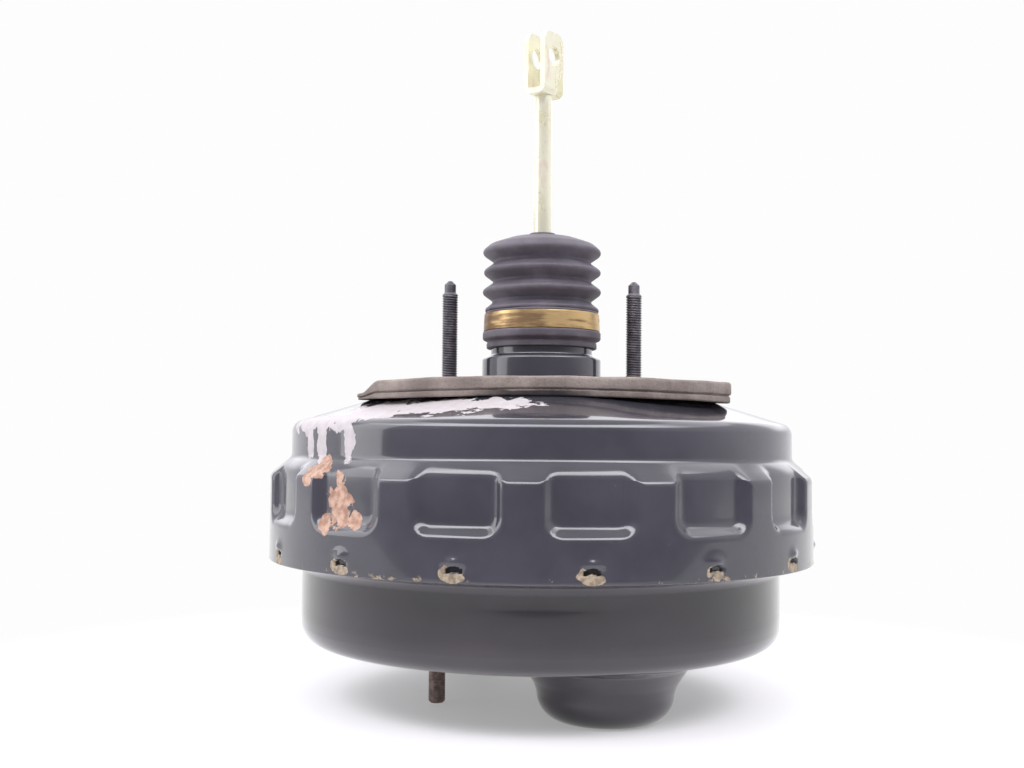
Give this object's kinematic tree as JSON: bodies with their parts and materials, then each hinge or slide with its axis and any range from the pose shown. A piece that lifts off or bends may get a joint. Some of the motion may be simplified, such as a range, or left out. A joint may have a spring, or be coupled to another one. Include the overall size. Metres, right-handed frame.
{
  "type": "brake booster",
  "caption": "Single-diaphragm vacuum brake booster with black pressed shells, bulkhead studs, bellows boot and a pedal rod with a clevis.",
  "frame": {"origin": "on the booster's axis, in the face of the rear shell that the bulkhead gasket lies on, midway between the bulkhead studs", "axes": "+Z along the pedal rod, away from the shells; +X along the line of the bulkhead studs"},
  "size_m": [0.2676, 0.2676, 0.334],
  "materials": {
    "black_paint": "gloss",
    "stud_steel": "dark oxide",
    "plain_steel": "satin",
    "spring_steel": "satin",
    "yellow_zinc": "yellow zinc plate",
    "brass": "worn",
    "rubber": "matt",
    "foam": "matt foam",
    "felt": "matt",
    "phenolic": "matt",
    "black_plastic": "matt",
    "aluminium": "satin"
  },
  "bodies": {
    "housing": {"rear_shell": "black_paint", "front_shell": "black_paint", "rear_studs": "stud_steel", "rear_stud_pads": "plain_steel", "front_studs": "stud_steel", "front_stud_plate": "plain_steel", "mounting_gasket": "foam", "dust_boot": "rubber", "boot_band": "brass", "neck_bearing": "black_plastic", "neck_seal": "rubber", "seal_retainer": "plain_steel", "front_seal": "rubber", "check_valve_grommet": "rubber", "check_valve_body": "black_plastic", "check_valve_spring": "spring_steel", "diaphragm": "rubber", "return_spring": "spring_steel"},
    "piston": {"valve_body": "phenolic", "diaphragm_plate": "aluminium", "diaphragm_clip": "spring_steel", "reaction_disc": "rubber", "output_rod": "plain_steel", "output_rod_tip": "plain_steel", "output_rod_retainer": "plain_steel", "control_valve_retainer": "plain_steel", "valve_spring": "spring_steel", "rod_return_spring": "spring_steel", "air_filter": "felt", "silencer": "felt", "filter_retainer": "black_plastic", "stop_key": "plain_steel"},
    "poppet": {"control_valve": "rubber", "control_valve_washer": "plain_steel"},
    "plunger": {"valve_plunger": "plain_steel"},
    "rod": {"pedal_rod": "yellow_zinc", "spring_seat": "plain_steel", "clevis": "yellow_zinc"},
    "check_disc": {"check_valve_disc": "rubber"}
  },
  "joints": [
    {"name": "piston_slide", "type": "slide", "parent": "housing", "child": "piston", "axis": [0, 0, -1], "range_m": [0, 0.03], "stiffness_N_per_m": 5000, "springref_m": -0.024, "deforming": ["dust_boot", "diaphragm", "return_spring"]},
    {"name": "plunger_slide", "type": "slide", "parent": "piston", "child": "plunger", "axis": [0, 0, -1], "range_m": [0, 0.002], "stiffness_N_per_m": 4000, "springref_m": -0.006, "deforming": ["rod_return_spring"]},
    {"name": "poppet_slide", "type": "slide", "parent": "piston", "child": "poppet", "axis": [0, 0, -1], "range_m": [0, 0.0008], "stiffness_N_per_m": 1000, "springref_m": 0.006, "deforming": ["valve_spring"]},
    {"name": "rod_tilt", "type": "hinge", "parent": "plunger", "child": "rod", "pos_m": [0, 0, 0.0072], "axis": [0.8387, -0.5446, 0], "range_deg": [-3, 3], "stiffness_Nm_per_rad": 3},
    {"name": "check_disc_slide", "type": "slide", "parent": "housing", "child": "check_disc", "axis": [0, 0, -1], "range_m": [0, 0.0015], "stiffness_N_per_m": 100, "springref_m": -0.003, "deforming": ["check_valve_spring"]}
  ],
  "couplings": [
    {"joint": "poppet_slide", "follows": "plunger_slide", "ratio": 0.4}
  ]
}
